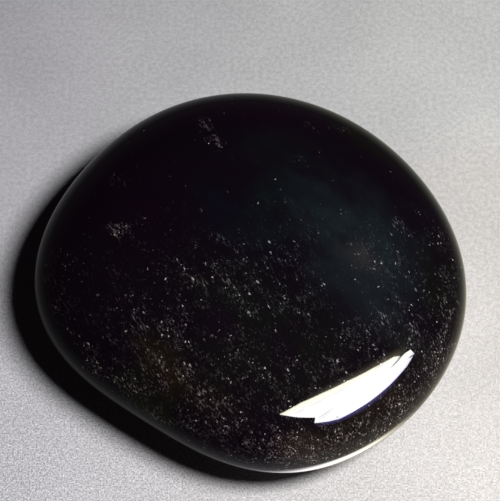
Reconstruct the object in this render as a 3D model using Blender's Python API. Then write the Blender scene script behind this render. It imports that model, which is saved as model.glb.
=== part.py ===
"""Obsidian slab: a palm-sized pebble of black volcanic glass, ground flat-sided and polished all over.

It is one stone with no separate pieces. Seen from above it is a rounded, slightly five-sided shape.
Seen from the side it is a low dome over a shallower underside, with the widest line between them, and
it lies on a small flat ground into the underside. Metres, +Z up, origin under the middle at the flat.
Azimuths are in degrees, anticlockwise from +X.
"""

import math

import bmesh
import bpy
from mathutils import Vector

MM = 0.001

# Driving dimensions
MEAN_RADIUS = 28.1 * MM  # of the outline, at the widest line
OUTLINE_LOBES = (  # lobes round the stone, how far each stands out, azimuth of the first crest
    (2, 1.10 * MM, -38.2),
    (3, 0.61 * MM, -56.2),
    (4, 0.54 * MM, 8.0),
    (5, 0.17 * MM, -17.6),
)
RIM_HEIGHT = 8.0 * MM  # of the widest line above the flat
CROWN_RISE = 9.3 * MM  # of the dome above the widest line
UNDERSIDE_DROP = 8.6 * MM  # of the underside below the widest line, before the flat is ground

# How square the section is: 2 makes an ellipse, and more makes a fuller shoulder or a flatter top
SHOULDER_FULLNESS = 2.45
SHOULDER_SWING = 0.25  # the back left shoulder is this much fuller than the mean, the front right less
FULLEST_AZIMUTH = 120.0
CROWN_FLATNESS = 2.15
UNDERSIDE_FULLNESS = 2.2
UNDERSIDE_FLATNESS = 2.0

FACET_LEVEL = 5  # icosphere subdivisions: 5,120 triangles, about 1.9 mm on a side

NODE_NAME = "obsidian_slab"
STONE_COLOR = (0.0035, 0.0028, 0.0038, 1.0)
STONE_ROUGHNESS = 0.04
STONE_IOR = 1.5


def outline_radius(azimuth):
    """Distance from the middle to the widest line, in the direction azimuth."""
    radius = MEAN_RADIUS
    for lobes, height, crest in OUTLINE_LOBES:
        radius += height * math.cos(lobes * (azimuth - math.radians(crest)))
    return radius


def shoulder_fullness(azimuth):
    return SHOULDER_FULLNESS + SHOULDER_SWING * math.cos(azimuth - math.radians(FULLEST_AZIMUTH))


def stone_point(direction):
    """Where a point of the unit sphere goes on the pebble, with the widest line at zero height."""
    azimuth = math.atan2(direction.y, direction.x)
    level_share = min(1.0, math.hypot(direction.x, direction.y))
    height_share = abs(direction.z)
    if direction.z >= 0.0:
        fullness = shoulder_fullness(azimuth)
        height = CROWN_RISE * height_share ** (2.0 / CROWN_FLATNESS)
    else:
        fullness = UNDERSIDE_FULLNESS
        height = -UNDERSIDE_DROP * height_share ** (2.0 / UNDERSIDE_FLATNESS)
    reach = outline_radius(azimuth) * level_share ** (2.0 / fullness)
    return Vector((reach * math.cos(azimuth), reach * math.sin(azimuth), height))


def pebble():
    """The whole rounded stone, its widest line at the level of the origin."""
    stone = bmesh.new()
    bmesh.ops.create_icosphere(stone, subdivisions=FACET_LEVEL, radius=1.0)
    for vert in stone.verts:
        vert.co = stone_point(vert.co.normalized())
    return stone


def grind_flat(stone):
    """Cuts the underside off level, closes the cut with one flat face and gives it a crisp edge."""
    cut = bmesh.ops.bisect_plane(
        stone,
        geom=stone.verts[:] + stone.edges[:] + stone.faces[:],
        plane_co=(0.0, 0.0, -RIM_HEIGHT),
        plane_no=(0.0, 0.0, -1.0),
        clear_outer=True,
    )
    flat_edge = [item for item in cut["geom_cut"] if isinstance(item, bmesh.types.BMEdge)]
    bmesh.ops.contextual_create(stone, geom=flat_edge)
    for edge in flat_edge:
        edge.smooth = False


def stand_on_origin(stone):
    """Moves the stone so that its flat is at zero height and its bounding box is centred over the origin."""
    east_west = [vert.co.x for vert in stone.verts]
    north_south = [vert.co.y for vert in stone.verts]
    middle_x = (min(east_west) + max(east_west)) / 2.0
    middle_y = (min(north_south) + max(north_south)) / 2.0
    bmesh.ops.translate(stone, verts=stone.verts, vec=(-middle_x, -middle_y, RIM_HEIGHT))


def polished_obsidian():
    material = bpy.data.materials.new("polished obsidian")
    material.use_nodes = True
    shader = material.node_tree.nodes["Principled BSDF"]
    shader.inputs["Base Color"].default_value = STONE_COLOR
    shader.inputs["Roughness"].default_value = STONE_ROUGHNESS
    shader.inputs["Metallic"].default_value = 0.0
    shader.inputs["IOR"].default_value = STONE_IOR
    return material


def make_slab():
    stone = pebble()
    grind_flat(stone)
    stand_on_origin(stone)
    bmesh.ops.recalc_face_normals(stone, faces=stone.faces)
    for face in stone.faces:
        face.smooth = True
    mesh = bpy.data.meshes.new(NODE_NAME)
    stone.to_mesh(mesh)
    stone.free()
    mesh.materials.append(polished_obsidian())
    slab = bpy.data.objects.new(NODE_NAME, mesh)
    bpy.context.scene.collection.objects.link(slab)


for old in list(bpy.data.objects):
    bpy.data.objects.remove(old, do_unlink=True)
make_slab()
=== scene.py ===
# %% [markdown]
# # A polished obsidian slab
#
# Obsidian is lava that cooled too fast to grow crystals, so it is glass: black, even and hard. This
# slab was ground to a soft five-sided pebble and polished until it mirrors the room. Three things make
# it look real: the long smooth curve of its edge, a few reflections with clean outlines, and the fine
# pale ash grains that froze into the glass.
#
# The lesson starts from a plain solid of the stone, which is loaded as a fixed frame, and dresses it.

# %% Load the frame
import math

import bmesh
import bpy
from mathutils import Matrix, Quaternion, Vector


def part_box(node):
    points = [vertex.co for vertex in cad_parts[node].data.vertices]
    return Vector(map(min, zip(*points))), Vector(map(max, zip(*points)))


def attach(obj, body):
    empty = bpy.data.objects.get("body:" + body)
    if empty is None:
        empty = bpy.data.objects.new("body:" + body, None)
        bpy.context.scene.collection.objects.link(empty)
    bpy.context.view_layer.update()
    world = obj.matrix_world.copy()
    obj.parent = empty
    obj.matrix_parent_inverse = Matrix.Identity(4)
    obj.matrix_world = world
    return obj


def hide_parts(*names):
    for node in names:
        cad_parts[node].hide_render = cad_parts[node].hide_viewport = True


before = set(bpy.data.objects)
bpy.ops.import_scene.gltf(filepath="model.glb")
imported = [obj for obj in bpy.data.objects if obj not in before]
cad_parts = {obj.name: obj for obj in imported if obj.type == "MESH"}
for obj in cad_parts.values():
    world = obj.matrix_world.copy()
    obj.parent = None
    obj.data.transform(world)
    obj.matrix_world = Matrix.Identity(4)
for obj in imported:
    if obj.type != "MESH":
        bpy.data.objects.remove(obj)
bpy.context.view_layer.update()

MM = 0.001
NODE = "obsidian_slab"
low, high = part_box(NODE)
print("the solid is", [round((b - a) / MM, 2) for a, b in zip(low, high)], "mm")


# %% [markdown]
# ## Small helpers
#
# Colours are picked as sRGB hex values, as in a paint program, but a shader mixes light and wants
# linear numbers. One function turns the one into the other. A second adds a node, sets it and links it
# in one go, so that a material reads from top to bottom like a recipe, and two more open and close that
# recipe. The last three put things into the scene and turn a bearing and a height into a direction.

# %% Helpers
WHITE = "#ffffff"


def linear(hex_color):
    """An sRGB hex colour such as "#0b090c" as linear RGBA."""
    channels = [int(hex_color[i:i + 2], 16) / 255.0 for i in (1, 3, 5)]
    return [c / 12.92 if c <= 0.04045 else ((c + 0.055) / 1.055) ** 2.4 for c in channels] + [1.0]


def add_node(material, kind, inputs=(), **settings):
    """Adds one shader node. An input is a value, an output to link, or a node with one output."""
    tree = material.node_tree
    node = tree.nodes.new("ShaderNode" + kind)
    for name, value in settings.items():
        setattr(node, name, value)
    for name, value in dict(inputs).items():
        if isinstance(value, bpy.types.Node):
            value = next(output for output in value.outputs if output.enabled)
        if isinstance(value, bpy.types.NodeSocket):
            tree.links.new(value, node.inputs[name])
        else:
            node.inputs[name].default_value = value
    return node


def empty_material(name):
    """A material with nothing in it yet but its output."""
    material = bpy.data.materials.new(name)
    material.use_nodes = True
    material.node_tree.nodes.remove(material.node_tree.nodes["Principled BSDF"])
    return material


def show(material, shader):
    """Puts a shader on the surface, which finishes the material."""
    output = material.node_tree.nodes["Material Output"]
    material.node_tree.links.new(shader.outputs[0], output.inputs["Surface"])
    print("the", material.name, "has", len(material.node_tree.nodes), "nodes")
    return material


def add_object(name, data):
    """Puts a mesh, a lamp or a camera into the scene."""
    thing = bpy.data.objects.new(name, data)
    bpy.context.scene.collection.objects.link(thing)
    return thing


def add_shape(name, shape):
    """Turns a bmesh into a mesh object in the scene."""
    mesh = bpy.data.meshes.new(name)
    shape.to_mesh(mesh)
    shape.free()
    return add_object(name, mesh)


def toward(azimuth, elevation):
    """The unit vector with this bearing from +X, anticlockwise, and this height, both in degrees."""
    a, e = math.radians(azimuth), math.radians(elevation)
    return Vector((math.cos(a) * math.cos(e), math.sin(a) * math.cos(e), math.sin(e)))


# %% [markdown]
# ## The stone's shape
#
# A lapidary grinds such a stone by eye, so it is neither a ball nor a box. It can be sculpted by hand,
# cast as a metaball, or, as here, pushed out of a round ball by a rule. The rule has two parts: an
# outline, which is a circle with a few low lobes, and a section, which is half of a superellipse above
# the widest line and half of another below it. A rule keeps the surface smooth everywhere, and a mirror
# polish shows even the smallest dent.
#
# The same rule made the solid in the frame. Here the ball has sixteen times as many triangles, so that
# reflections glide over it with no kinks.

# %% The stone's sizes
MEAN_RADIUS = 28.1 * MM
OUTLINE_LOBES = (  # lobes round the stone, how far each stands out, bearing of the first crest
    (2, 1.10 * MM, -38.2),
    (3, 0.61 * MM, -56.2),
    (4, 0.54 * MM, 8.0),
    (5, 0.17 * MM, -17.6),
)
RIM_HEIGHT = 8.0 * MM
CROWN_RISE = 9.3 * MM
UNDERSIDE_DROP = 8.6 * MM
SHOULDER_FULLNESS = 2.45
SHOULDER_SWING = 0.25
FULLEST_AZIMUTH = 120.0
CROWN_FLATNESS = 2.15
UNDERSIDE_FULLNESS = 2.2
UNDERSIDE_FLATNESS = 2.0
BALL_LEVEL = 7
print("the rule makes a stone", round((RIM_HEIGHT + CROWN_RISE) / MM, 2), "mm high")


# %% The rule that shapes the ball
def outline_radius(azimuth):
    """Distance from the middle to the widest line."""
    return MEAN_RADIUS + sum(
        height * math.cos(lobes * (azimuth - math.radians(crest)))
        for lobes, height, crest in OUTLINE_LOBES
    )


def stone_point(direction):
    """Where a point of the unit ball goes on the stone, with the widest line at zero height."""
    azimuth = math.atan2(direction.y, direction.x)
    level_share = min(1.0, math.hypot(direction.x, direction.y))
    height_share = abs(direction.z)
    if direction.z >= 0.0:
        fullness = SHOULDER_FULLNESS + SHOULDER_SWING * math.cos(azimuth - math.radians(FULLEST_AZIMUTH))
        height = CROWN_RISE * height_share ** (2.0 / CROWN_FLATNESS)
    else:
        fullness = UNDERSIDE_FULLNESS
        height = -UNDERSIDE_DROP * height_share ** (2.0 / UNDERSIDE_FLATNESS)
    reach = outline_radius(azimuth) * level_share ** (2.0 / fullness)
    return Vector((reach * math.cos(azimuth), reach * math.sin(azimuth), height))


print("the outline is", round(outline_radius(0.0) / MM, 2), "mm from the middle on the right")


# %% Grind the stone
def ground_stone():
    """The pushed-out ball, cut level underneath, sized and placed to fill the solid's box."""
    stone = bmesh.new()
    bmesh.ops.create_icosphere(stone, subdivisions=BALL_LEVEL, radius=1.0)
    for vert in stone.verts:
        vert.co = stone_point(vert.co.normalized())
    cut = bmesh.ops.bisect_plane(
        stone,
        geom=stone.verts[:] + stone.edges[:] + stone.faces[:],
        plane_co=(0.0, 0.0, -RIM_HEIGHT),
        plane_no=(0.0, 0.0, -1.0),
        clear_outer=True,
    )
    flat_edge = [item for item in cut["geom_cut"] if isinstance(item, bmesh.types.BMEdge)]
    bmesh.ops.contextual_create(stone, geom=flat_edge)
    for edge in flat_edge:
        edge.smooth = False
    corners = [[vert.co[axis] for vert in stone.verts] for axis in range(3)]
    lowest = Vector([min(values) for values in corners])
    highest = Vector([max(values) for values in corners])
    fit = Vector([(high[i] - low[i]) / (highest[i] - lowest[i]) for i in range(3)])
    bmesh.ops.translate(stone, verts=stone.verts, vec=-lowest)
    bmesh.ops.scale(stone, verts=stone.verts, vec=fit)
    bmesh.ops.translate(stone, verts=stone.verts, vec=low)
    bmesh.ops.recalc_face_normals(stone, faces=stone.faces)
    for face in stone.faces:
        face.smooth = True
    return add_shape("polished_stone", stone)


stone = ground_stone()
print("the stone has", len(stone.data.polygons), "faces and is",
      [round(side / MM, 2) for side in stone.dimensions], "mm")

# %% [markdown]
# ## Polished obsidian
#
# Obsidian is about 70 % silica, with an index of refraction of 1.48 to 1.51, and iron in it drinks
# nearly all light within a few millimetres. So it needs no see-through shader: to the eye it is a black
# body under a clear mirror. The black is not even. Where the flow trapped very small bubbles it has a
# cool grey-teal veil, and this veil is partly a painted reflection: the soft glow that the crown mirrors
# from above is painted into its colour. Elsewhere it leans to purple, and near the ash-rich front it is
# warm and brownish.
#
# The veils could be painted on an image, but then the stone would need a map. Here they are soft ovals
# placed on the stone, with noise in their edges. Each has a colour, a centre, two half-widths, a turn
# and a strength, in millimetres and degrees.

# %% Colours of the glass
GLASS_BLACK = "#080409"
VEILS = (  # what it is, colour, centre x and y, half-width along and across, turn, strength
    ("plum", "#0a0309", -15.0, 7.0, 10.0, 9.0, 60.0, 0.6),
    ("plum at the back", "#0b040b", 0.0, 21.5, 13.0, 4.0, 0.0, 0.8),
    ("slate", "#090a0d", 6.0, 13.0, 9.0, 5.0, -20.0, 0.8),
    ("indigo", "#07070d", -4.5, 5.5, 6.0, 4.5, -60.0, 0.7),
    ("grey in the middle", "#090909", -1.0, -8.5, 13.0, 6.0, -20.0, 0.8),
    ("olive grey in front", "#0a0a09", 4.0, -16.5, 18.0, 7.5, 0.0, 0.8),
    ("slate in the middle", "#080b0f", 1.2, 1.0, 5.5, 4.0, -40.0, 0.8),
    ("dark teal", "#080c0e", 5.0, 6.0, 8.0, 4.5, -30.0, 0.8),
    # the teal, pale and blue haze are partly a bubble veil in the glass and partly a painted reflection
    # of the glow above
    ("teal haze", "#0f1417", 15.0, 0.4, 12.0, 7.8, -40.0, 1.0),
    ("wisp", "#101417", 6.5, 4.0, 3.2, 1.2, -55.0, 0.8),
    ("pale haze", "#201f20", 14.4, -1.8, 4.0, 2.8, -60.0, 1.0),
    ("blue haze", "#0f1215", 15.0, -7.0, 9.0, 5.0, -50.0, 0.9),
    ("grey on the right", "#0f100f", 20.5, -13.5, 4.0, 3.5, 0.0, 0.8),
    ("plum gap", "#0b050c", -4.0, -11.5, 3.2, 2.4, -50.0, 0.9),
    ("wide plum gap", "#0a050b", 4.0, -15.5, 3.5, 2.4, -70.0, 0.8),
    ("rust", "#130d06", -10.6, -17.2, 5.6, 2.8, -46.0, 0.8),
    ("moss", "#0f1109", -13.5, -20.0, 5.5, 2.6, -35.0, 0.9),
    ("rust in front", "#100b08", -4.0, -22.0, 4.5, 2.4, -20.0, 0.5),
    ("plum in front", "#0b060a", -2.5, -24.5, 6.0, 2.2, -5.0, 0.8),
    ("olive at the back", "#070705", 15.0, 19.8, 13.0, 3.0, -42.0, 0.7),
    ("olive edge", "#080806", 25.0, -4.0, 4.0, 9.0, 0.0, 0.9),
    ("rusty edge", "#120e0b", 14.0, -24.0, 18.0, 4.5, 38.0, 0.9),
    ("brown clump", "#231a17", 6.4, -26.8, 3.8, 1.8, 8.0, 0.7),
)
print("the glass is", GLASS_BLACK, "under", len(VEILS), "veils")

# %% [markdown]
# ### Ovals, patches and the flow
#
# The lava was still creeping when it froze, so each pattern in the stone is drawn out along nearly the
# same line. Four helpers do all the placing: one gives a place in millimetres, one stretches a pattern
# along the flow, one measures how far a place lies from an oval's middle, and one is a patchy noise.

# %% Ovals and patches
FLOW_BEARING = -54.0
PATCH_STRETCH = 1.6
PATCH_DETAIL = 1.0
NOISE_LOW = 0.35
NOISE_HIGH = 0.65
ANY_HEIGHT_MM = 1000.0


def place_in_mm(material):
    """Where a point lies on its own object, in millimetres."""
    coordinates = add_node(material, "TexCoord")
    return add_node(material, "VectorMath", {
        0: coordinates.outputs["Object"], "Scale": 1.0 / MM,
    }, operation="SCALE")


def along_the_flow(material, place, width, stretch, bearing):
    """Squeezes a pattern to cells of this width, stretched along the flow of the lava."""
    return add_node(material, "Mapping", {
        "Vector": place,
        "Rotation": (0.0, 0.0, math.radians(bearing)),
        "Scale": (width * stretch, width, width),
    }, vector_type="TEXTURE")


def oval(material, place, x, y, along, across, turn):
    """How far a place lies from the middle of an oval: 0 in the middle and 1 at the edge."""
    local = add_node(material, "Mapping", {
        "Vector": place,
        "Location": (x, y, 0.0),
        "Rotation": (0.0, 0.0, math.radians(turn)),
        "Scale": (along, across, ANY_HEIGHT_MM),
    }, vector_type="TEXTURE")
    return add_node(material, "VectorMath", {0: local}, operation="LENGTH")


def patchy(material, place, width, least, most):
    """A soft noise that runs from least to most, in patches of about this width."""
    flow = along_the_flow(material, place, width, PATCH_STRETCH, FLOW_BEARING)
    noise = add_node(material, "TexNoise", {"Vector": flow, "Scale": 1.0, "Detail": PATCH_DETAIL})
    return add_node(material, "MapRange", {
        "Value": noise.outputs["Fac"],
        "From Min": NOISE_LOW, "From Max": NOISE_HIGH, "To Min": least, "To Max": most,
    })


print("the lava flowed at a bearing of", FLOW_BEARING, "degrees")

# %% Mix the glass
VEIL_NOISE_MM = 6.0
VEIL_DETAIL = 4.0
VEIL_WANDER = 1.6  # how far the noise pushes the edge of a veil, in half-widths
VEIL_FULL = 0.9
VEIL_GONE = 2.1
WISP_MM = 1.8
WISP_LEAST = 0.7
WISP_MOST = 1.15


def glass_color_with_painted_reflection(material, place):
    """The slow drift of colour in the glass; its teal haze is partly a painted reflection of the glow
    above.
    """
    drift = add_node(material, "TexNoise", {
        "Vector": place, "Scale": 1.0 / VEIL_NOISE_MM, "Detail": VEIL_DETAIL,
    })
    wisps = patchy(material, place, WISP_MM, WISP_LEAST, WISP_MOST)
    color = linear(GLASS_BLACK)
    for name, tint, x, y, along, across, turn, strength in VEILS:
        wavy = add_node(material, "Math", {
            0: drift.outputs["Fac"], 1: VEIL_WANDER, 2: oval(material, place, x, y, along, across, turn),
        }, operation="MULTIPLY_ADD", label=name)
        share = add_node(material, "MapRange", {
            "Value": wavy, "From Min": VEIL_GONE, "From Max": VEIL_FULL, "To Max": strength,
        }, interpolation_type="SMOOTHSTEP")
        wispy = add_node(material, "Math", {0: share, 1: wisps}, operation="MULTIPLY", use_clamp=True)
        color = add_node(material, "Mix", {"Factor": wispy, 6: color, 7: linear(tint)}, data_type="RGBA")
    return color


print("the veils' edges wander every", VEIL_NOISE_MM, "mm")

# %% [markdown]
# ## Ash in the glass
#
# Fine ash, and the first needles of feldspar to grow, froze into the lava. Here they lie in drifts,
# thick at the front and almost none at the back. Tight little clouds sit where a lump of ash was caught,
# and some spots stayed clear.
#
# One number, the drift, says how likely a grain is at each place. It is built from a slope, two sizes
# of patchy noise, the clear spots and the clouds. A second number keeps the clouds alone.

# %% Where the ash lies
FRONT_Y = -15.0  # the ash is thick in front of this line
BARE_Y = 7.5  # and thins out to a few grains behind this one
LEAN = -0.1  # the lines lean a little: they lie further back on the right
BARE_DRIFT = 0.02
FRONT_DRIFT = 0.9
DRIFT_PATCHES = (  # width, least and most
    (5.0, 0.5, 1.45),
    (1.7, 0.2, 1.8),
)
CLEAR_SPOTS = (  # centre x and y, half-width along and across, turn, share of the ash that is left
    (4.2, -14.4, 5.4, 3.3, -60.0, 0.3),
    (-4.0, -11.5, 3.2, 2.2, -50.0, 0.5),
    (12.0, -5.0, 7.0, 4.4, -50.0, 0.3),
    (18.5, -4.5, 3.0, 3.0, 0.0, 0.65),
    (17.0, 8.0, 8.0, 4.5, -50.0, 0.2),
    (-20.0, 3.0, 9.0, 6.0, -30.0, 0.3),
    (-22.0, -6.0, 5.0, 7.0, -30.0, 0.5),
    (-4.5, 4.0, 8.0, 3.2, -10.0, 0.25),
    (1.0, -23.5, 4.5, 1.6, -10.0, 0.4),
    (13.0, -20.5, 9.0, 1.4, 30.0, 0.2),
)
SPOT_CLEAR = 0.4
SPOT_ENDS = 1.3
ASH_CLOUDS = (  # centre x and y, half-width along and across, turn, strength
    (-6.3, 19.6, 1.9, 1.1, -60.0, 1.7),
    (-4.6, 16.2, 1.6, 1.0, -50.0, 1.4),
    (-17.5, 2.6, 1.9, 1.3, -30.0, 1.9),
    (-18.0, 10.8, 1.8, 0.9, -40.0, 0.8),
    (-7.0, -5.6, 1.8, 1.3, -40.0, 2.2),
    (-4.4, 0.8, 1.6, 1.0, -60.0, 0.8),
    (-2.0, -6.8, 2.4, 1.5, -50.0, 1.7),
    (6.4, -9.7, 2.2, 1.1, -10.0, 1.9),
    (-14.6, -11.0, 2.6, 1.2, -50.0, 1.3),
    (20.0, 3.2, 1.6, 1.0, -50.0, 2.0),
    (17.3, -10.2, 2.6, 1.2, -60.0, 1.4),
    (21.0, -12.0, 3.0, 2.0, -60.0, 1.2),
    (8.0, 18.8, 2.2, 1.2, -40.0, 0.5),
    (12.5, 19.6, 1.6, 0.9, 0.0, 0.6),
    (0.7, 14.1, 1.6, 0.8, -60.0, 0.4),
    (7.0, 13.0, 2.0, 1.2, -40.0, 0.4),
    (-11.5, -16.8, 4.4, 2.2, -42.0, 1.5),
    (-13.8, -19.4, 3.0, 1.6, -40.0, 1.1),
    (-5.5, -21.3, 4.6, 2.0, -35.0, 1.5),
    (5.3, -27.4, 5.0, 2.0, 5.0, 3.1),
    (10.0, -26.0, 4.0, 2.0, 14.0, 1.6),
    (14.8, -24.2, 4.6, 2.0, 27.0, 1.4),
    (19.0, -20.6, 4.6, 2.2, 46.0, 1.6),
    (24.0, -14.6, 4.5, 1.7, 62.0, 1.2),
    (25.4, -8.5, 5.0, 2.0, 78.0, 1.1),
)
CLOUD_FULL = 0.2
CLOUD_ENDS = 1.2
CLOUD_EDGE = (0.85, -0.35, 0.45)  # width of the nicks in a cloud's edge, and how far they go
CLOUD_PATCHES = (1.3, 0.45, 1.4)  # width of the patches inside a cloud, least and most
print("the ash lies in", len(ASH_CLOUDS), "clouds and leaves", len(CLEAR_SPOTS), "clear spots")


# %% Gather the ash
def ash_clouds(material, place):
    """How thick the ash is in the clouds: 0 outside them and 2 or more in the thickest."""
    nicks = patchy(material, place, *CLOUD_EDGE)
    clouds = 0.0
    for x, y, along, across, turn, strength in ASH_CLOUDS:
        edge = add_node(material, "Math", {
            0: oval(material, place, x, y, along, across, turn), 1: nicks,
        }, operation="ADD")
        cloud = add_node(material, "MapRange", {
            "Value": edge, "From Min": CLOUD_ENDS, "From Max": CLOUD_FULL, "To Max": strength,
        })
        clouds = add_node(material, "Math", {0: clouds, 1: cloud}, operation="MAXIMUM")
    return add_node(material, "Math", {
        0: clouds, 1: patchy(material, place, *CLOUD_PATCHES),
    }, operation="MULTIPLY")


def ash_drift(material, place, clouds):
    """How likely a grain is at each place, from about 0 to 1, and more in the clouds."""
    split = add_node(material, "SeparateXYZ", {"Vector": place})
    leaning = add_node(material, "Math", {
        0: split.outputs["X"], 1: LEAN, 2: split.outputs["Y"],
    }, operation="MULTIPLY_ADD")
    drift = add_node(material, "MapRange", {
        "Value": leaning,
        "From Min": BARE_Y, "From Max": FRONT_Y, "To Min": BARE_DRIFT, "To Max": FRONT_DRIFT,
    })
    for width, least, most in DRIFT_PATCHES:
        drift = add_node(material, "Math", {
            0: drift, 1: patchy(material, place, width, least, most),
        }, operation="MULTIPLY")
    for x, y, along, across, turn, left in CLEAR_SPOTS:
        thinned = add_node(material, "MapRange", {
            "Value": oval(material, place, x, y, along, across, turn),
            "From Min": SPOT_ENDS, "From Max": SPOT_CLEAR, "To Min": 1.0, "To Max": left,
        })
        drift = add_node(material, "Math", {0: drift, 1: thinned}, operation="MULTIPLY")
    return add_node(material, "Math", {0: drift, 1: clouds}, operation="MAXIMUM")


print("the ash thins out from y =", FRONT_Y, "to y =", BARE_Y, "mm")

# %% [markdown]
# ### Grains
#
# The polish cuts through the ash, so it shows as pale pin-pricks and as short needles that point along
# the flow. They could be modelled one by one, but a Voronoi pattern does the same with a few nodes: each
# cell owns one point, a small ball round that point is the grain, and the cell's random colour decides
# whether the grain is there at all and how bright it is. Stretching the pattern turns balls to needles.
#
# Faint grains are common and bright ones rare, because most lie under the surface. A power law does
# that: a luck of 1 gives the faintest grain, and a luck near 0 the brightest.

# %% Sizes of the grains
GRAINS = (  # name, cell width, grain radius, stretch, bearing of the flow, share, faintest, brightest
    ("dust", 0.28, 0.085, 1.4, -54.0, 1.0, 0.0031, 0.08),
    ("pin-pricks", 0.39, 0.115, 1.0, 0.0, 0.45, 0.0048, 0.45),
    ("needles", 0.43, 0.11, 3.0, -54.0, 0.90, 0.0060, 0.30),
    ("short needles", 0.38, 0.115, 1.8, -75.0, 0.60, 0.0045, 0.40),
)
RARITY = -1.3
GRAIN_CORE = 0.5  # the share of a grain's radius that is solid
RICHER_WHERE_THIN = 0.6
RICHER_WHERE_THICK = 1.1
CRUMBLE_MM = 0.25  # the grains are ragged at this scale
CRUMBLE_SHIFT_MM = 0.32
for name, cell, radius, stretch, bearing, share, faintest, brightest in GRAINS:
    # Real ash dust is finer than 0.05 mm. It is drawn coarser here, so that it shows at all.
    print(name + ": grains of", round(2.0 * radius, 2), "mm, at most one in each", cell, "mm")


# %% Scatter the grains
def ash_grains(material, place, drift):
    """How pale the grains make each place, from 0 in clear glass to 1 in solid ash."""
    crumble = add_node(material, "TexNoise", {"Vector": place, "Scale": 1.0 / CRUMBLE_MM, "Detail": 0.0})
    shift = add_node(material, "VectorMath", {
        0: crumble.outputs["Color"], 1: (CRUMBLE_SHIFT_MM,) * 3, 2: place,
    }, operation="MULTIPLY_ADD")
    richer = add_node(material, "MapRange", {
        "Value": drift, "To Min": RICHER_WHERE_THIN, "To Max": RICHER_WHERE_THICK,
    }, clamp=False)
    total = 0.0
    for name, cell, radius, stretch, bearing, share, faintest, brightest in GRAINS:
        cells = add_node(material, "TexVoronoi", {
            "Vector": along_the_flow(material, shift, cell, stretch, bearing), "Scale": 1.0,
        }, label=name)
        grain = add_node(material, "MapRange", {
            "Value": cells.outputs["Distance"],
            "From Min": radius / cell, "From Max": GRAIN_CORE * radius / cell,
        }, interpolation_type="SMOOTHSTEP")
        luck = add_node(material, "SeparateColor", {"Color": cells.outputs["Color"]})
        odds = add_node(material, "Math", {0: drift, 1: share}, operation="MULTIPLY")
        there = add_node(material, "Math", {0: luck.outputs["Red"], 1: odds}, operation="LESS_THAN")
        rare = add_node(material, "Math", {0: luck.outputs["Green"], 1: RARITY}, operation="POWER")
        least = add_node(material, "Math", {0: richer, 1: faintest}, operation="MULTIPLY")
        lit = add_node(material, "Math", {0: rare, 1: least}, operation="MULTIPLY")
        capped = add_node(material, "Math", {0: lit, 1: brightest}, operation="MINIMUM")
        shown = add_node(material, "Math", {0: grain, 1: there}, operation="MULTIPLY")
        total = add_node(material, "Math", {0: shown, 1: capped, 2: total}, operation="MULTIPLY_ADD")
    return total


print("noise pushes the grains about by up to", CRUMBLE_SHIFT_MM, "mm")

# %% [markdown]
# ### Frost
#
# In the clouds the ash is too fine and too close to tell grain from grain. It reads as a pale frost in
# short streaks, most of all low on the front edge, where the grinding met it at a slant. A stretched
# noise makes the streaks, and only its crests count.

# %% Breathe on the frost
FROST_MM = 0.25
FROST_STRETCH = 3.0
FROST_BEARING = -66.0
FROST_DETAIL = 1.5
FROST_STARTS = 0.54
FROST_FULL = 0.78
FROST_LIGHT = 0.125
FROST_OUTSIDE = 0.18  # the frost outside the clouds, as a share of the drift
FROST_CLOUD_STARTS = 0.2
FROST_CLOUD_FULL = 2.0
FROST_PATCHES = (1.1, 0.0, 1.8)  # width of the patches, least and most
EDGE_TOP_MM = 13.0
EDGE_BOTTOM_MM = 8.0
EDGE_FROST = 3.0


def ash_frost(material, place, drift, clouds):
    """How pale the ash that is too fine to see as grains makes each place."""
    noise = add_node(material, "TexNoise", {
        "Vector": along_the_flow(material, place, FROST_MM, FROST_STRETCH, FROST_BEARING),
        "Scale": 1.0, "Detail": FROST_DETAIL,
    })
    streaks = add_node(material, "MapRange", {
        "Value": noise.outputs["Fac"],
        "From Min": FROST_STARTS, "From Max": FROST_FULL, "To Max": FROST_LIGHT,
    })
    thin = add_node(material, "Math", {0: drift, 1: FROST_OUTSIDE}, operation="MULTIPLY")
    thick = add_node(material, "MapRange", {
        "Value": clouds, "From Min": FROST_CLOUD_STARTS, "From Max": FROST_CLOUD_FULL, "To Min": thin,
    })
    clumped = add_node(material, "Math", {
        0: thick, 1: patchy(material, place, *FROST_PATCHES),
    }, operation="MULTIPLY")
    frosted = add_node(material, "Math", {0: streaks, 1: clumped}, operation="MULTIPLY")
    height = add_node(material, "SeparateXYZ", {"Vector": place})
    low_down = add_node(material, "MapRange", {
        "Value": height.outputs["Z"],
        "From Min": EDGE_TOP_MM, "From Max": EDGE_BOTTOM_MM, "To Min": 1.0, "To Max": EDGE_FROST,
    })
    return add_node(material, "Math", {0: frosted, 1: low_down}, operation="MULTIPLY")


print("the frost's streaks are", FROST_MM, "by", FROST_MM * FROST_STRETCH, "mm")

# %% [markdown]
# ## Putting the glass together
#
# The base colour mixes glass and ash, which is pinkish where iron stained it and cool under the teal
# veil. The last polish, with cerium oxide on felt, leaves a roughness of a few hundredths: reflections
# keep their outlines, and only a smear of handling softens them here and there. The felt also rides over
# the hard glass in slow waves, so a very low bump bends the reflections the way a hand-polished stone
# does.

# %% The obsidian
ASH_PINK = "#d6c8c6"
ASH_COOL = "#c6ccd0"
COOL_MIDDLE = (10.0, 0.0, 16.0)
COOL_REACH = 8.0
PINK_FROM = 20.0
POLISH_WAVE_MM = 6.0
POLISH_WAVE_DETAIL = 1.0
POLISH_WAVE_HEIGHT_MM = 0.0012
SMEAR_MM = 9.0
SMEAR_DETAIL = 4.0
SMEAR_STARTS = 0.4
SMEAR_FULL = 0.7
POLISHED = 0.02
SMEARED = 0.05
OBSIDIAN_IOR = 1.5


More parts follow.
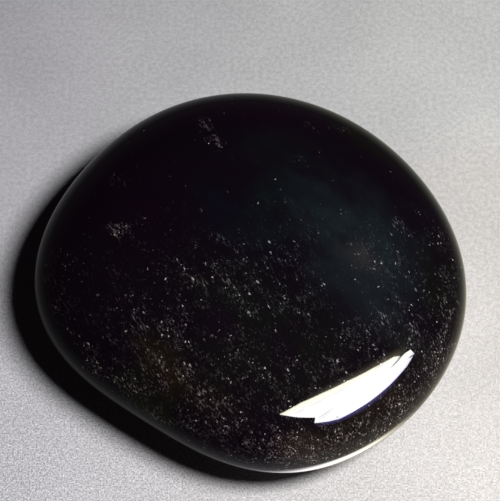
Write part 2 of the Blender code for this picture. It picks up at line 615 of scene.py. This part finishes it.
def ash_color(material, place):
    """Cool ash near the middle of the teal veil, and pink further out."""
    away = add_node(material, "VectorMath", {0: place, 1: COOL_MIDDLE}, operation="DISTANCE")
    pinker = add_node(material, "MapRange", {
        "Value": away, "From Min": COOL_REACH, "From Max": PINK_FROM,
    })
    return add_node(material, "Mix", {
        "Factor": pinker, 6: linear(ASH_COOL), 7: linear(ASH_PINK),
    }, data_type="RGBA")


def polished_obsidian():
    """Black glass under a mirror polish: to the eye, dark and wet, with pale ash in it."""
    material = empty_material("polished obsidian")
    place = place_in_mm(material)
    clouds = ash_clouds(material, place)
    drift = ash_drift(material, place, clouds)
    ash = add_node(material, "Math", {
        0: ash_grains(material, place, drift), 1: ash_frost(material, place, drift, clouds),
    }, operation="ADD")
    color = add_node(material, "Mix", {
        "Factor": ash, 6: glass_color_with_painted_reflection(material, place), 7: ash_color(material, place),
    }, data_type="RGBA")
    smear = add_node(material, "TexNoise", {
        "Vector": place, "Scale": 1.0 / SMEAR_MM, "Detail": SMEAR_DETAIL,
    })
    roughness = add_node(material, "MapRange", {
        "Value": smear.outputs["Fac"],
        "From Min": SMEAR_STARTS, "From Max": SMEAR_FULL, "To Min": POLISHED, "To Max": SMEARED,
    })
    wave = add_node(material, "TexNoise", {
        "Vector": place, "Scale": 1.0 / POLISH_WAVE_MM, "Detail": POLISH_WAVE_DETAIL,
    })
    bump = add_node(material, "Bump", {
        "Height": wave.outputs["Fac"], "Distance": POLISH_WAVE_HEIGHT_MM * MM,
    })
    glass = add_node(material, "BsdfPrincipled", {
        "Base Color": color, "Roughness": roughness, "IOR": OBSIDIAN_IOR, "Normal": bump,
    })
    return show(material, glass)


stone.data.materials.append(polished_obsidian())
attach(stone, "root")
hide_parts(NODE)

# %% [markdown]
# ## The floor
#
# The stone lies on a pale grey sheet with a fine metallic grain. It could be a scan of a real sheet, but
# a plane with a procedural grain is enough: fine grain, blotches of a few grains, and a slow drift of
# tone. The grain is sharp in front and soft at the back. The grey is cool on the left, warm on the right
# and neutral at the back right. The tone is also painted paler at the front and on the right, towards the
# lamp, and darker at the back left: a painted fall-off of the lamp's light. Far away it fades into the
# pale room, so that no horizon shows.

# %% Tones of the sheet
FLOOR_RADIUS = 1.5
FLOOR_SIDES = 96
SHEET_COOL = "#c8c6cb"
SHEET_WARM = "#cbc7c4"
SHEET_NEUTRAL = "#c9c9c7"  # at the back on the right
NEUTRAL_LEAN = -0.3
WARM_UNTIL_Y = 12.0
NEUTRAL_FROM_Y = 22.0
COOL_X = -30.0
WARM_X = 30.0
LEFT_X = -35.0
RIGHT_X = 30.0
# the front and back tones are a painted fall-off of the lamp's light: paler at the front right, towards
# the lamp
FRONT_TONE = (0.64, 0.70)  # on the left and on the right
BACK_TONE = (0.51, 0.59)
TONE_FRONT_Y = -30.0
TONE_BACK_Y = 50.0
NOISE_MIDDLE = 0.5
GRAIN_DETAIL = 1.0
GRAIN_MM = 0.22  # real satin grain is nearer 0.1 mm, and is drawn coarser here so that it shows
GRAIN_FRONT_Y = -25.0
GRAIN_BACK_Y = 20.0
FRONT_GRAIN = (2.4, 1.2)  # its contrast on the left and on the right
BACK_GRAIN = 0.5
BLOTCHES = (  # width in millimetres, detail of the noise, and how far the tone swings
    (0.6, 1.0, 0.1),
    (18.0, 3.0, 0.07),
)
BLOTCH_LOW = 0.3
BLOTCH_HIGH = 0.7
SHEET_METALLIC = 0.2
SHEET_ROUGHNESS = 0.6
FADE_STARTS = 80.0
FADE_ENDS = 500.0
ROOM_PALE = 0.6
print("the sheet is", 2.0 * FLOOR_RADIUS, "m across and fades out past", FADE_STARTS, "mm")


# %% The sheet as the eye sees it
def from_left_to_right(material, across, left, right):
    """A value that slides from the left side of the sheet to the right."""
    return add_node(material, "MapRange", {
        "Value": across, "From Min": LEFT_X, "From Max": RIGHT_X, "To Min": left, "To Max": right,
    })


def sheet_tone(material, split, place):
    """How pale the sheet is, with its grain, its blotches and a painted fall-off of the lamp's light."""
    contrast = add_node(material, "MapRange", {
        "Value": split.outputs["Y"], "From Min": GRAIN_FRONT_Y, "From Max": GRAIN_BACK_Y,
        "To Min": from_left_to_right(material, split.outputs["X"], *FRONT_GRAIN), "To Max": BACK_GRAIN,
    })
    grain = add_node(material, "TexNoise", {
        "Vector": place, "Scale": 1.0 / GRAIN_MM, "Detail": GRAIN_DETAIL,
    })
    centred = add_node(material, "Math", {0: grain.outputs["Fac"], 1: NOISE_MIDDLE}, operation="SUBTRACT")
    grainy = add_node(material, "Math", {0: centred, 1: contrast, 2: 1.0}, operation="MULTIPLY_ADD")
    painted_falloff = add_node(material, "MapRange", {
        "Value": split.outputs["Y"], "From Min": TONE_FRONT_Y, "From Max": TONE_BACK_Y,
        "To Min": from_left_to_right(material, split.outputs["X"], *FRONT_TONE),
        "To Max": from_left_to_right(material, split.outputs["X"], *BACK_TONE),
    })
    tone = add_node(material, "Math", {0: painted_falloff, 1: grainy}, operation="MULTIPLY")
    for width, detail, swing in BLOTCHES:
        blotch = add_node(material, "TexNoise", {"Vector": place, "Scale": 1.0 / width, "Detail": detail})
        blotchy = add_node(material, "MapRange", {
            "Value": blotch.outputs["Fac"], "From Min": BLOTCH_LOW, "From Max": BLOTCH_HIGH,
            "To Min": 1.0 - swing, "To Max": 1.0 + swing,
        })
        tone = add_node(material, "Math", {0: tone, 1: blotchy}, operation="MULTIPLY")
    return tone


def sheet_for_the_eye(material, place):
    """The sheet as the eye sees it, with a painted fall-off of the lamp's light, fading into the room far
    away.
    """
    split = add_node(material, "SeparateXYZ", {"Vector": place})
    across = add_node(material, "MapRange", {
        "Value": split.outputs["X"], "From Min": COOL_X, "From Max": WARM_X,
    })
    leaning = add_node(material, "Math", {
        0: split.outputs["X"], 1: NEUTRAL_LEAN, 2: split.outputs["Y"],
    }, operation="MULTIPLY_ADD")
    further_back = add_node(material, "MapRange", {
        "Value": leaning, "From Min": WARM_UNTIL_Y, "From Max": NEUTRAL_FROM_Y,
    })
    on_the_right = add_node(material, "Mix", {
        "Factor": further_back, 6: linear(SHEET_WARM), 7: linear(SHEET_NEUTRAL),
    }, data_type="RGBA")
    grey = add_node(material, "Mix", {
        "Factor": across, 6: linear(SHEET_COOL), 7: on_the_right,
    }, data_type="RGBA")
    color = add_node(material, "VectorMath", {
        0: grey, "Scale": sheet_tone(material, split, place),
    }, operation="SCALE")
    sheet = add_node(material, "BsdfPrincipled", {
        "Base Color": color, "Metallic": SHEET_METALLIC, "Roughness": SHEET_ROUGHNESS,
    })
    away = add_node(material, "VectorMath", {0: place}, operation="LENGTH")
    fading = add_node(material, "MapRange", {
        "Value": away, "From Min": FADE_STARTS, "From Max": FADE_ENDS,
    }, interpolation_type="SMOOTHSTEP")
    distance = add_node(material, "Emission", {"Color": linear(WHITE), "Strength": ROOM_PALE})
    return add_node(material, "MixShader", {0: fading, 1: sheet, 2: distance})


print("the sheet's grain is", GRAIN_MM, "mm, and its blotches are", [size[0] for size in BLOTCHES], "mm")

# %% [markdown]
# ## What the rim mirrors
#
# A black mirror shows what is round it, and the whole rim of this stone is a picture of the sheet: the
# lit part of it close by, the room's light that comes back from the front and the right, and the bright
# arc that the stone's own polish throws on the sheet in front of it. A path tracer finds such an arc
# only with great patience, so the sheet has a second look that shows only in reflections, and the three
# lights are painted there. They are tinted a little: lavender on the left, cream on the right and olive
# at the back.

# %% Light that comes back from the room
FRONT_BOUNCE_AZIMUTH = -60.0
FRONT_BOUNCE = 0.38
FRONT_BOUNCE_NARROWNESS = 7.0
SIDE_BOUNCE_AZIMUTH = -5.0
SIDE_BOUNCE = 0.06
SIDE_BOUNCE_NARROWNESS = 10.0
EVERYWHERE_BOUNCE = 0.03


def facing(material, place, azimuth):
    """1 where a place lies on this bearing, 0 square to it and -1 behind."""
    level = add_node(material, "VectorMath", {0: place, 1: (1.0, 1.0, 0.0)}, operation="MULTIPLY")
    bearing = add_node(material, "VectorMath", {0: level}, operation="NORMALIZE")
    return add_node(material, "VectorMath", {
        0: bearing, 1: toward(azimuth, 0.0),
    }, operation="DOT_PRODUCT")


def beam(material, place, azimuth, narrowness):
    """1 where a place lies on this bearing, falling off to both sides."""
    ahead = add_node(material, "Math", {0: facing(material, place, azimuth), 1: 0.0}, operation="MAXIMUM")
    return add_node(material, "Math", {0: ahead, 1: narrowness}, operation="POWER")


def bounced_light(material, place):
    """The broad light that comes back from the front and the right of the room."""
    front = add_node(material, "Math", {
        0: beam(material, place, FRONT_BOUNCE_AZIMUTH, FRONT_BOUNCE_NARROWNESS),
        1: FRONT_BOUNCE,
        2: EVERYWHERE_BOUNCE,
    }, operation="MULTIPLY_ADD")
    return add_node(material, "Math", {
        0: beam(material, place, SIDE_BOUNCE_AZIMUTH, SIDE_BOUNCE_NARROWNESS),
        1: SIDE_BOUNCE,
        2: front,
    }, operation="MULTIPLY_ADD")


print("light comes back most from", FRONT_BOUNCE_AZIMUTH, "and", SIDE_BOUNCE_AZIMUTH, "degrees")

# %% The sheet as the stone mirrors it
POOL_MIDDLE = (12.0, -8.0, 0.0)
POOL_SPREAD = 340.0  # divided by the squared distance plus the core, it gives how bright the painted pool of light is
POOL_CORE = 150.0
POOL_AZIMUTH = 70.0
POOL_DIM = 0.33
POOL_DIM_FACING = -0.3
POOL_BRIGHT_FACING = 0.5
ARC_MIDDLE = (12.4, -18.5, 0.0)
ARC_AZIMUTH = -74.0
ARC_NARROWNESS = 4.0
ARC_REACH = 12.6
ARC_HALF_WIDTH = 4.8
ARC_RADIANCE = 13.0
LAVENDER = "#fcf9ff"
WARM_CREAM = "#fff8e0"
CREAM_AZIMUTH = -10.0
CREAM_FACING = (0.3, 0.8)
PALE_OLIVE = "#fbfeeb"
OLIVE_AZIMUTH = 50.0
OLIVE_FACING = (0.6, 0.95)


def pool_of_light(material, place):
    """The lit part of the sheet, which dims away from the stone and towards its front left."""
    away = add_node(material, "VectorMath", {0: place, 1: POOL_MIDDLE}, operation="DISTANCE")
    square = add_node(material, "Math", {0: away, 1: away, 2: POOL_CORE}, operation="MULTIPLY_ADD")
    pool = add_node(material, "Math", {0: POOL_SPREAD, 1: square}, operation="DIVIDE")
    side = add_node(material, "MapRange", {
        "Value": facing(material, place, POOL_AZIMUTH),
        "From Min": POOL_DIM_FACING, "From Max": POOL_BRIGHT_FACING, "To Min": POOL_DIM, "To Max": 1.0,
    })
    return add_node(material, "Math", {0: pool, 1: side}, operation="MULTIPLY")


def bright_arc(material, place):
    """The arc of light on the sheet in front: its share on each bearing, and its strength across it."""
    from_arc = add_node(material, "VectorMath", {0: place, 1: ARC_MIDDLE}, operation="SUBTRACT")
    reach = add_node(material, "VectorMath", {0: from_arc}, operation="LENGTH")
    off = add_node(material, "Math", {0: reach, 1: ARC_REACH}, operation="SUBTRACT")
    near = add_node(material, "Math", {0: off}, operation="ABSOLUTE")
    glow = add_node(material, "MapRange", {
        "Value": near, "From Min": ARC_HALF_WIDTH, "From Max": 0.0, "To Max": ARC_RADIANCE,
    }, interpolation_type="SMOOTHSTEP")
    lit = beam(material, from_arc, ARC_AZIMUTH, ARC_NARROWNESS)
    return lit, glow


def side_tint(material, place):
    """The tint of the light on each side: lavender on the left, cream on the right, olive behind."""
    rightward = add_node(material, "MapRange", {
        "Value": facing(material, place, CREAM_AZIMUTH),
        "From Min": CREAM_FACING[0], "From Max": CREAM_FACING[1],
    })
    backward = add_node(material, "MapRange", {
        "Value": facing(material, place, OLIVE_AZIMUTH),
        "From Min": OLIVE_FACING[0], "From Max": OLIVE_FACING[1],
    })
    creamy = add_node(material, "Mix", {
        "Factor": rightward, 6: linear(LAVENDER), 7: linear(WARM_CREAM),
    }, data_type="RGBA")
    return add_node(material, "Mix", {
        "Factor": backward, 6: creamy, 7: linear(PALE_OLIVE),
    }, data_type="RGBA")


def sheet_for_the_stone(material, place):
    """The sheet as the rim mirrors it: a pool of light, a bounce from the room and a bright arc."""
    lit, glow = bright_arc(material, place)
    total = add_node(material, "Math", {
        0: lit, 1: glow, 2: bounced_light(material, place),
    }, operation="MULTIPLY_ADD")
    tint = side_tint(material, place)
    pool_color = add_node(material, "VectorMath", {
        0: tint, "Scale": pool_of_light(material, place),
    }, operation="SCALE")
    pool = add_node(material, "BsdfDiffuse", {"Color": pool_color})
    light = add_node(material, "Emission", {"Color": tint, "Strength": total})
    return add_node(material, "AddShader", {0: pool, 1: light})


print("the bright arc is", ARC_REACH, "mm from its middle and", 2.0 * ARC_HALF_WIDTH, "mm wide")


# %% Lay the floor
def satin_sheet():
    """Satin metal sheet: pale, with a grain that catches the light in specks; its tone carries a painted
    fall-off of the lamp's light, and reflections see painted light on it.
    """
    material = empty_material("satin metallic sheet")
    material.cycles.emission_sampling = "NONE"
    place = place_in_mm(material)
    ray = add_node(material, "LightPath")
    return show(material, add_node(material, "MixShader", {
        0: ray.outputs["Is Camera Ray"],
        1: sheet_for_the_stone(material, place),
        2: sheet_for_the_eye(material, place),
    }))


sheet = bmesh.new()
bmesh.ops.create_circle(sheet, cap_ends=True, radius=FLOOR_RADIUS, segments=FLOOR_SIDES)
floor = add_shape("floor", sheet)
floor.data.materials.append(satin_sheet())

# %% [markdown]
# ## Light
#
# One soft lamp stands at the right front, and throws the short dark shadow at the left. It is hung
# twice, once for the sheet and once for the stone, so that each can be set by itself: the one on the
# sheet shapes the shadow, and the one on the stone lights the ash. Light linking keeps them apart. A
# polished black stone would show its lamp as a plain disc, so the stone's lamp is left out of its
# reflections.

# %% Hang the lamps
LAMP_AZIMUTH = -23.0
LAMP_TURN = -35.0
LAMP_DISTANCE = 0.33
LAMP_RADIANCE = 60.0
STONE_LAMP_ELEVATION = 58.5
STONE_LAMP_SIZE = (0.177, 0.087)
FLOOR_LAMP_ELEVATION = 60.0
FLOOR_LAMP_SIZE = (0.12, 0.085)
STONE_MIDDLE = Vector((0.0, 0.0, 12.0 * MM))
STONE_LAMP_AREA = math.pi / 4.0 * STONE_LAMP_SIZE[0] * STONE_LAMP_SIZE[1]
LAMP_WATTS = LAMP_RADIANCE * math.pi * STONE_LAMP_AREA


def only_on(receiver, light):
    """Links a light or a bright card to one object, so that nothing else sees it."""
    group = bpy.data.collections.new(light.name + " receivers")
    group.objects.link(receiver)
    light.light_linking.receiver_collection = group


def face_stone(thing, azimuth, elevation, distance):
    """Hangs a lamp or a card on this bearing, square to the stone."""
    direction = toward(azimuth, elevation)
    thing.rotation_mode = "QUATERNION"
    aim = direction.to_track_quat("Z", "Y")
    thing.rotation_quaternion = aim @ Quaternion((0.0, 0.0, 1.0), math.radians(LAMP_TURN))
    thing.location = STONE_MIDDLE + direction * distance


def soft_lamp(name, receiver, elevation, size, shows_in_gloss):
    """An oval lamp that lights one object."""
    lamp = bpy.data.lights.new(name, "AREA")
    lamp.shape = "ELLIPSE"
    lamp.size, lamp.size_y = size
    lamp.energy = LAMP_WATTS
    thing = add_object(name, lamp)
    face_stone(thing, LAMP_AZIMUTH, elevation, LAMP_DISTANCE)
    thing.visible_camera = False
    thing.visible_glossy = shows_in_gloss
    only_on(receiver, thing)


soft_lamp("lamp on the floor", floor, FLOOR_LAMP_ELEVATION, FLOOR_LAMP_SIZE, True)
soft_lamp("lamp on the stone", stone, STONE_LAMP_ELEVATION, STONE_LAMP_SIZE, False)
print("each lamp gives", round(LAMP_WATTS, 2), "watts")

# %% [markdown]
# ## The highlight
#
# The clean white highlight is what the polish is judged by. A studio shapes it with a bright card, and
# here the card is cut to a leaf and hung where the stone's right front mirrors it. It lights nothing
# else. Its outline is given as a list of corners, and two parabolas follow its long edges. The colours
# use them: as a lens tints the edges of anything so bright, the white turns to cream along the upper edge
# and to violet along the lower. A few fine streaks, as a brush would leave, break it up.

# %% The leaf card's shape and streaks
CARD_AZIMUTH = -28.0
CARD_DISTANCE = 0.335
LEAF_OUTLINE_MM = (  # anticlockwise from its left tip
    (-172, 0), (-130, -28), (-88, -50), (-97, -78), (-60, -92), (-30, -99), (0, -93), (50, -82),
    (100, -67), (145, -48), (167, -27), (150, -2), (118, 6), (100, 19), (50, 30), (0, 35),
    (-50, 33), (-100, 26),
)
UPPER_EDGE = (0.0, 34.0, -0.0013)  # where the parabola peaks, along and up the card, and its curve
LOWER_EDGE = (-20.0, -99.0, 0.0022)
STREAKS = (  # along and up the leaf, half-length, half-width, turn, how dark
    (-116.0, -5.0, 22.0, 2.2, 22.0, 0.35),
    (-70.0, 8.0, 34.0, 2.0, 14.0, 0.28),
    (-20.0, 16.0, 34.0, 2.0, 6.0, 0.22),
    (-62.0, -46.0, 36.0, 3.2, 28.0, 0.40),
    (-66.0, -58.0, 30.0, 2.2, 26.0, 0.35),
    (-20.0, -42.0, 26.0, 2.5, 4.0, 0.12),
    (108.0, -2.0, 22.0, 4.5, 14.0, 0.75),
    (128.0, 6.0, 24.0, 6.0, 8.0, 1.0),
    (158.0, -27.0, 20.0, 4.0, -20.0, 0.8),
    (-37.0, -84.0, 4.0, 7.0, 0.0, 0.45),
    (64.0, 22.0, 14.0, 2.0, -16.0, 0.25),
)
print("the leaf has", len(LEAF_OUTLINE_MM), "corners and", len(STREAKS), "streaks")


# %% Cards that only the polish sees
def stand_in_gloss(name, shape, material, distance):
    """Hangs a card that only the stone's polish sees."""
    card = add_shape(name, shape)
    card.data.materials.append(material)
    card.visible_camera = False
    card.visible_diffuse = False
    card.visible_shadow = False
    only_on(stone, card)
    face_stone(card, CARD_AZIMUTH, STONE_LAMP_ELEVATION, distance)
    print("the", name, "is", [round(side / MM) for side in card.dimensions[:2]], "mm")


def edge_height(material, along, middle, height, curve):
    """How far up the card one of the leaf's long edges lies."""
    off = add_node(material, "Math", {0: along, 1: middle}, operation="SUBTRACT")
    square = add_node(material, "Math", {0: off, 1: off}, operation="MULTIPLY")
    return add_node(material, "Math", {0: square, 1: curve, 2: height}, operation="MULTIPLY_ADD")


def leaf_edges(material, place):
    """How far below the leaf's upper edge and above its lower edge a place lies, in mm."""
    split = add_node(material, "SeparateXYZ", {"Vector": place})
    upper = edge_height(material, split.outputs["X"], *UPPER_EDGE)
    lower = edge_height(material, split.outputs["X"], *LOWER_EDGE)
    below = add_node(material, "Math", {0: upper, 1: split.outputs["Y"]}, operation="SUBTRACT")
    above = add_node(material, "Math", {0: split.outputs["Y"], 1: lower}, operation="SUBTRACT")
    return below, above


# %% Hang the leaf card
LEAF_RADIANCE = 26.0
CREAM = "#fbf9e4"
CREAM_WIDTH = 22.0
VIOLET = "#e6e2ff"
VIOLET_WIDTH = 14.0
STREAK_CORE = 0.3


def leaf_light():
    """White light, cream along the upper edge and violet along the lower, with fine streaks."""
    material = empty_material("leaf light")
    place = place_in_mm(material)
    below, above = leaf_edges(material, place)
    cream = add_node(material, "MapRange", {"Value": below, "From Min": CREAM_WIDTH, "From Max": 0.0})
    violet = add_node(material, "MapRange", {"Value": above, "From Min": VIOLET_WIDTH, "From Max": 0.0})
    warm = add_node(material, "Mix", {
        "Factor": cream, 6: linear(WHITE), 7: linear(CREAM),
    }, data_type="RGBA")
    tinted = add_node(material, "Mix", {"Factor": violet, 6: warm, 7: linear(VIOLET)}, data_type="RGBA")
    strength = LEAF_RADIANCE
    for x, y, along, across, turn, darkness in STREAKS:
        kept = add_node(material, "MapRange", {
            "Value": oval(material, place, x, y, along, across, turn),
            "From Min": STREAK_CORE, "From Max": 1.0, "To Min": 1.0 - darkness,
        }, interpolation_type="SMOOTHSTEP")
        strength = add_node(material, "Math", {0: strength, 1: kept}, operation="MULTIPLY")
    return show(material, add_node(material, "Emission", {"Color": tinted, "Strength": strength}))


leaf = bmesh.new()
corners = [leaf.verts.new((x * MM, y * MM, 0.0)) for x, y in LEAF_OUTLINE_MM]
bmesh.ops.contextual_create(leaf, geom=corners)
bmesh.ops.triangulate(leaf, faces=leaf.faces)
stand_in_gloss("leaf card", leaf, leaf_light(), CARD_DISTANCE)

# %% [markdown]
# ### The glow round it
#
# Past the leaf's edges the same tints go on as a faint glow, straw above it and violet below it. It
# could be added to the picture afterwards, but then it would not follow the stone. So it is a second,
# larger card just behind the first, which fades out within a few centimetres.

# %% Hang the glow card
GLOW_SIZE = (190.0 * MM, 90.0 * MM, 1.0)
GLOW_MIDDLE = (0.0, -32.0 * MM, 0.0)
GLOW_BEHIND = 1.0 * MM
GLOW_SIDES = 64
STRAW = "#fff0c8"
STRAW_REACH = 26.0
STRAW_RADIANCE = 2.0
DEEP_VIOLET = "#9e90ff"
VIOLET_REACH = 40.0
VIOLET_RADIANCE = 3.5
GLOW_FALL = 2.5
GLOW_ALONG = 20.0
GLOW_FULL = 75.0
GLOW_ENDS = 125.0


def glow_light():
    """The faint glow past the leaf's edges: straw above it and violet below it."""
    material = empty_material("glow round the leaf")
    place = place_in_mm(material)
    below, above = leaf_edges(material, place)
    straw = add_node(material, "MapRange", {"Value": below, "From Min": -STRAW_REACH, "From Max": 0.0})
    violet = add_node(material, "MapRange", {"Value": above, "From Min": -VIOLET_REACH, "From Max": 0.0})
    nearest = add_node(material, "Math", {0: straw, 1: violet}, operation="MINIMUM")
    fading = add_node(material, "Math", {0: nearest, 1: GLOW_FALL}, operation="POWER")
    side = add_node(material, "Math", {0: below, 1: above}, operation="GREATER_THAN")
    color = add_node(material, "Mix", {
        "Factor": side, 6: linear(STRAW), 7: linear(DEEP_VIOLET),
    }, data_type="RGBA")
    brightest = add_node(material, "MapRange", {
        "Value": side, "To Min": STRAW_RADIANCE, "To Max": VIOLET_RADIANCE,
    })
    split = add_node(material, "SeparateXYZ", {"Vector": place})
    off = add_node(material, "Math", {0: split.outputs["X"], 1: GLOW_ALONG}, operation="SUBTRACT")
    outward = add_node(material, "Math", {0: off}, operation="ABSOLUTE")
    kept = add_node(material, "MapRange", {
        "Value": outward, "From Min": GLOW_ENDS, "From Max": GLOW_FULL, "To Max": brightest,
    }, interpolation_type="SMOOTHSTEP")
    strength = add_node(material, "Math", {0: fading, 1: kept}, operation="MULTIPLY")
    return show(material, add_node(material, "Emission", {"Color": color, "Strength": strength}))


glow = bmesh.new()
bmesh.ops.create_circle(glow, cap_ends=True, radius=1.0, segments=GLOW_SIDES)
bmesh.ops.scale(glow, verts=glow.verts, vec=GLOW_SIZE)
bmesh.ops.translate(glow, verts=glow.verts, vec=GLOW_MIDDLE)
stand_in_gloss("glow card", glow, glow_light(), CARD_DISTANCE + GLOW_BEHIND)

# %% [markdown]
# ## The room
#
# The room could be an image of a studio. Here it is two plain things. What the stone mirrors is nearly
# dark and a little plum, which keeps the glass black, with the same light coming back low down as the
# sheet has. What the eye sees directly is pale, so that a view from the side has a plain pale
# background.

# %% Paint the room
ROOM_DARK = 0.006
ROOM_PLUM = "#ffcdf4"
BOUNCE_CREAM = "#fffaf0"
BOUNCE_TOP = 0.4
room = bpy.data.worlds.new("room")
bpy.context.scene.world = room
room.use_nodes = True
ray = add_node(room, "LightPath")
sight = add_node(room, "TexCoord").outputs["Object"]
height = add_node(room, "SeparateXYZ", {"Vector": sight})
low_down = add_node(room, "MapRange", {
    "Value": height.outputs["Z"], "From Min": BOUNCE_TOP, "From Max": 0.0,
})
bounce = add_node(room, "Math", {
    0: bounced_light(room, sight), 1: low_down, 2: ROOM_DARK,
}, operation="MULTIPLY_ADD")
strength = add_node(room, "MapRange", {
    "Value": ray.outputs["Is Camera Ray"], "To Min": bounce, "To Max": ROOM_PALE,
})
unseen = add_node(room, "Mix", {
    "Factor": low_down, 6: linear(ROOM_PLUM), 7: linear(BOUNCE_CREAM),
}, data_type="RGBA")
paint = add_node(room, "Mix", {
    "Factor": ray.outputs["Is Camera Ray"], 6: unseen, 7: linear(WHITE),
}, data_type="RGBA")
background = room.node_tree.nodes["Background"]
room.node_tree.links.new(paint.outputs[2], background.inputs["Color"])
room.node_tree.links.new(strength.outputs["Result"], background.inputs["Strength"])
print("the room is", ROOM_DARK, "to the stone and", ROOM_PALE, "to the eye")

# %% [markdown]
# ## The camera
#
# The eye looks down at the stone from the front, sixty degrees above the floor, from thirty centimetres
# away. The colours are shown as they are, with no film look, so that white stays white.

# %% Set the camera
CAMERA_AZIMUTH = -90.0
CAMERA_ELEVATION = 60.0
CAMERA_DISTANCE = 0.3
CAMERA_NEAREST = 0.01
LOOK_AT = Vector((-0.05 * MM, 8.56 * MM, 0.0))
SENSOR_MM = 36.0
FOCAL_PIXELS = 2155.0
IMAGE_HEIGHT = 501.0
camera_data = bpy.data.cameras.new("camera")
camera_data.sensor_width = SENSOR_MM
camera_data.lens = FOCAL_PIXELS * SENSOR_MM / IMAGE_HEIGHT
camera_data.clip_start = CAMERA_NEAREST
camera = add_object("camera", camera_data)
back = toward(CAMERA_AZIMUTH, CAMERA_ELEVATION)
camera.location = LOOK_AT + back * CAMERA_DISTANCE
camera.rotation_mode = "QUATERNION"
camera.rotation_quaternion = back.to_track_quat("Z", "Y")
bpy.context.scene.camera = camera
bpy.context.scene.view_settings.view_transform = "Standard"
print("the lens is", round(camera_data.lens, 1), "mm")
